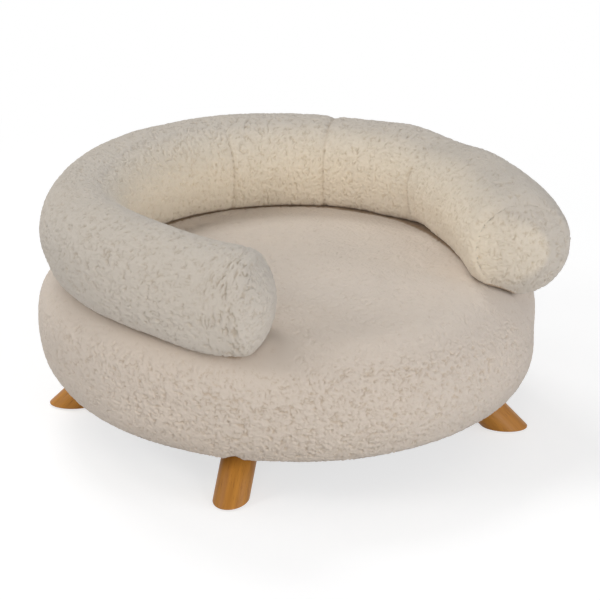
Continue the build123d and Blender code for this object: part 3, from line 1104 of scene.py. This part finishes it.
# Bolster with painted light: its outer side darker and greyer, its inner side lighter and warmer
bolster_pile = curly_cloth(
    "bolster_curly_pile", cream, pale_cream, ((0.885, 0.92, 0.935, 1), (1.19, 1.21, 1.14, 1))
)
foam_stuff = soft_layer("pale_foam", (0.80, 0.72, 0.50, 1), (0.74, 0.65, 0.43, 1), 900.0, 0.0006)
wadding_stuff = soft_layer(
    "white_wadding", (0.85, 0.85, 0.83, 1), (0.78, 0.78, 0.76, 1), 300.0, 0.0012
)
thread_stuff = soft_layer(
    "cream_thread", (0.70, 0.62, 0.52, 1), (0.60, 0.52, 0.43, 1), 1500.0, 0.0002
)
dust_stuff = soft_layer(
    "black_dust_cloth", (0.03, 0.03, 0.03, 1), (0.015, 0.015, 0.015, 1), 800.0, 0.0003
)
zinc = brushed("zinc_plate", (0.62, 0.62, 0.60), 1.0, 0.35, 120.0)
wire = brushed("staple_wire", (0.60, 0.60, 0.60), 1.0, 0.3, 300.0)
dark_plastic = brushed("dark_glide_plastic", (0.05, 0.045, 0.04), 0.0, 0.5, 200.0)
board_tones = (0.60, 0.42, 0.24, 1), (0.50, 0.34, 0.18, 1), (0.38, 0.25, 0.13, 1)
board_wood = oiled_wood("plain_plywood", (1, 0, 0), *board_tones, 0.0)
leg_tones = (0.52, 0.225, 0.032, 1), (0.38, 0.15, 0.022, 1), (0.27, 0.105, 0.018, 1)

# Pieces ride on the bed's one body

for piece, slot_name, fill, stuff in (
    (seat_top, "curly_pile", 0.9, seat_pile),
    *((side, "curly_pile", 0.9, seat_pile) for side in seat_sides),
    *((cover, "curly_pile", 0.85, bolster_pile) for cover in bolster_covers),
    (seat_foam, "foam", 1.0, foam_stuff),
    (seat_wadding, "wadding", 0.8, wadding_stuff),
    (bolster_filling, "wadding", 0.8, wadding_stuff),
):
    piece.data.materials.append(stuff)
    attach(piece, "root")


def finish_node(name, stuff):
    """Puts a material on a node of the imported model."""
    slots = cad_nodes[name].material_slots
    if slots:
        for place in slots:
            place.material = stuff
    else:
        cad_nodes[name].data.materials.append(stuff)


for corner, leg_angle in (
    ("front_left", leg_turn - pi / 2 - front_leg_angle),
    ("front_right", leg_turn - pi / 2 + front_leg_angle),
    ("rear_right", leg_turn + pi / 2 - rear_leg_angle),
    ("rear_left", leg_turn + pi / 2 + rear_leg_angle),
):
    lean = Vector((cos(leg_angle), sin(leg_angle), 0)) * tan(leg_splay)
    along = Vector((0, 0, 1)) - lean
    finish_node(f"leg_{corner}", oiled_wood(f"leg_wood_{corner}", along, *leg_tones, 1.0))
    finish_node(f"foot_glide_{corner}", dark_plastic)
finish_node("base_board", board_wood)
finish_node("tee_nuts", zinc)
finish_node("hanger_bolts", zinc)
finish_node("cover_staples", wire)
finish_node("dust_cover_staples", wire)
finish_node("dust_cover", dust_stuff)
finish_node("bolster_stitches", thread_stuff)

# Floor, light and camera


def seen_share(tree):
    """1 for what the camera sees, straight, in gloss or through glass."""
    path = node(tree, "ShaderNodeLightPath")
    straight, gloss = path.outputs["Is Camera Ray"], path.outputs["Is Glossy Ray"]
    either = node(tree, "ShaderNodeMath", {0: straight, 1: gloss}, operation="MAXIMUM")
    inputs = {0: either.outputs[0], 1: path.outputs["Is Transmission Ray"]}
    return node(tree, "ShaderNodeMath", inputs, operation="MAXIMUM").outputs[0]


floor_mesh = bpy.data.meshes.new("floor")
floor_mesh.from_pydata([(-9, -9, 0), (9, -9, 0), (9, 9, 0), (-9, 9, 0)], [], [(0, 1, 2, 3)])
floor = bpy.data.objects.new("floor", floor_mesh)
bpy.context.scene.collection.objects.link(floor)
paper = bpy.data.materials.new("white_floor")
paper.use_nodes = True
tree = paper.node_tree
tree.nodes.clear()
seen = seen_share(tree)
grey = node(tree, "ShaderNodeMix", {0: seen}, data_type="RGBA")
grey.inputs[6].default_value = (0.7, 0.7, 0.7, 1)
grey.inputs[7].default_value = (0.45, 0.45, 0.45, 1)
matte = node(tree, "ShaderNodeBsdfDiffuse", {"Color": grey.outputs[2]})
glow = node(tree, "ShaderNodeEmission", {"Color": (1, 1, 1, 1)})
lift = node(tree, "ShaderNodeMath", {0: seen, 1: 0.66}, operation="MULTIPLY")
link(tree, lift.outputs[0], glow.inputs["Strength"])
lit = node(tree, "ShaderNodeAddShader", {0: matte.outputs[0], 1: glow.outputs[0]})
place = node(tree, "ShaderNodeTexCoord").outputs["Object"]
away = node(tree, "ShaderNodeVectorMath", {0: place}, operation="LENGTH").outputs["Value"]
fade = node(
    tree,
    "ShaderNodeMapRange",
    {"Value": away, "From Min": 0.5, "From Max": 1.5, "To Max": seen},
    interpolation_type="SMOOTHSTEP",
)
far = node(tree, "ShaderNodeEmission", {"Color": (1, 1, 1, 1)})
both = node(
    tree, "ShaderNodeMixShader", {0: fade.outputs[0], 1: lit.outputs[0], 2: far.outputs[0]}
)
out = node(tree, "ShaderNodeOutputMaterial", {"Surface": both.outputs[0]})
floor_mesh.materials.append(paper)

scene = bpy.context.scene
world = bpy.data.worlds.new("studio")
scene.world = world
world.use_nodes = True
tree = world.node_tree
tree.nodes.clear()
ambient = node(tree, "ShaderNodeBackground", {"Color": (1, 1, 1, 1), "Strength": 0.225})
white = node(tree, "ShaderNodeBackground", {"Color": (1, 1, 1, 1), "Strength": 1.0})
shown = node(tree, "ShaderNodeMixShader", {0: seen_share(tree)})
link(tree, ambient.outputs[0], shown.inputs[1])
link(tree, white.outputs[0], shown.inputs[2])
node(tree, "ShaderNodeOutputWorld", {"Surface": shown.outputs[0]})


def softbox(name, azimuth, elevation, power, colour):
    """Square lamp that looks at the bed from an azimuth and elevation."""
    lamp = bpy.data.lights.new(name, "AREA")
    lamp.size = 1.8
    lamp.energy = power
    lamp.color = colour
    lamp_object = bpy.data.objects.new(name, lamp)
    turn, rise = radians(azimuth), radians(elevation)
    way = Vector((sin(turn) * cos(rise), -cos(turn) * cos(rise), sin(rise)))
    lamp_object.location = Vector((0, 0, 0.2)) + way * 5
    lamp_object.rotation_euler = way.to_track_quat("Z", "Y").to_euler()
    scene.collection.objects.link(lamp_object)


softbox("front", 0, 14, 70, (1.0, 0.98, 0.93))
softbox("front_left", -40, 14, 42, (1.0, 0.98, 1.0))
softbox("front_right", 45, 14, 46, (0.92, 0.98, 1.14))
softbox("left", -100, 32, 58, (1.0, 1.0, 1.0))
softbox("back_left", -130, 55, 24, (1.0, 1.0, 1.0))
softbox("back", 180, 55, 78, (1.0, 1.0, 1.0))

level = Vector((sin(camera_azimuth), -cos(camera_azimuth), 0))
back = level * cos(camera_elevation) + Vector((0, 0, sin(camera_elevation)))
right = Vector((cos(camera_azimuth), sin(camera_azimuth), 0))
up = back.cross(right)
camera = bpy.data.objects.new("camera", bpy.data.cameras.new("camera"))
camera.data.sensor_width = 36
camera.data.lens = camera_focal / frame_width * camera.data.sensor_width
target = right * camera_aim_right + Vector((0, 0, camera_aim_height))
turned = Matrix((right, up, back)).transposed().to_4x4()
camera.matrix_world = Matrix.Translation(target + back * camera_distance) @ turned
scene.collection.objects.link(camera)
scene.camera = camera
scene.view_settings.view_transform = "Standard"
